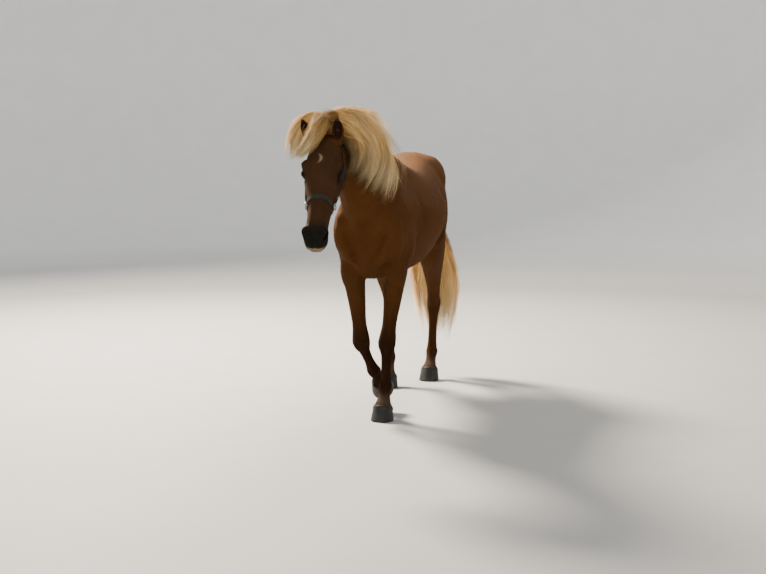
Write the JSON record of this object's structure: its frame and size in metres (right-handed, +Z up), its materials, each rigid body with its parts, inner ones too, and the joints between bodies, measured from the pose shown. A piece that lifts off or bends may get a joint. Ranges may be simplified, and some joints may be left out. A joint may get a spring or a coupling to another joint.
{
  "type": "icelandic horse",
  "caption": "Life-size still model of an Icelandic horse in mid walk, one forefoot lifted, with long mane, forelock and tail, wearing a halter.",
  "frame": {"origin": "on the floor, below the middle of the box around the whole horse", "axes": "+Z up; the horse faces -Y; its own left side is +X"},
  "size_m": [0.5442, 2.2782, 1.5411],
  "materials": {
    "torso": "short chestnut coat",
    "neck": "short chestnut coat",
    "head": "short chestnut coat",
    "ear_left": "short chestnut coat",
    "ear_right": "short chestnut coat",
    "foreleg_left": "short chestnut coat",
    "foreleg_right": "short chestnut coat",
    "hind_leg_left": "short chestnut coat",
    "hind_leg_right": "short chestnut coat",
    "hoof_foreleg_left": "dark horn, satin",
    "hoof_foreleg_right": "dark horn, satin",
    "hoof_hind_leg_left": "dark horn, satin",
    "hoof_hind_leg_right": "dark horn, satin",
    "mane": "flaxen long hair",
    "forelock": "flaxen long hair",
    "tail": "flaxen long hair",
    "eye_left": "wet and glossy",
    "eye_right": "wet and glossy",
    "halter": "grey-green woven webbing",
    "halter_ring_left": "worn steel",
    "halter_ring_right": "worn steel"
  },
  "bodies": {
    "root": {"torso": "torso", "neck": "neck", "head": "head", "ear_left": "ear_left", "ear_right": "ear_right", "foreleg_left": "foreleg_left", "foreleg_right": "foreleg_right", "hind_leg_left": "hind_leg_left", "hind_leg_right": "hind_leg_right", "hoof_foreleg_left": "hoof_foreleg_left", "hoof_foreleg_right": "hoof_foreleg_right", "hoof_hind_leg_left": "hoof_hind_leg_left", "hoof_hind_leg_right": "hoof_hind_leg_right", "mane": "mane", "forelock": "forelock", "tail": "tail", "eye_left": "eye_left", "eye_right": "eye_right", "halter": "halter", "halter_ring_left": "halter_ring_left", "halter_ring_right": "halter_ring_right"}
  },
  "joints": []
}
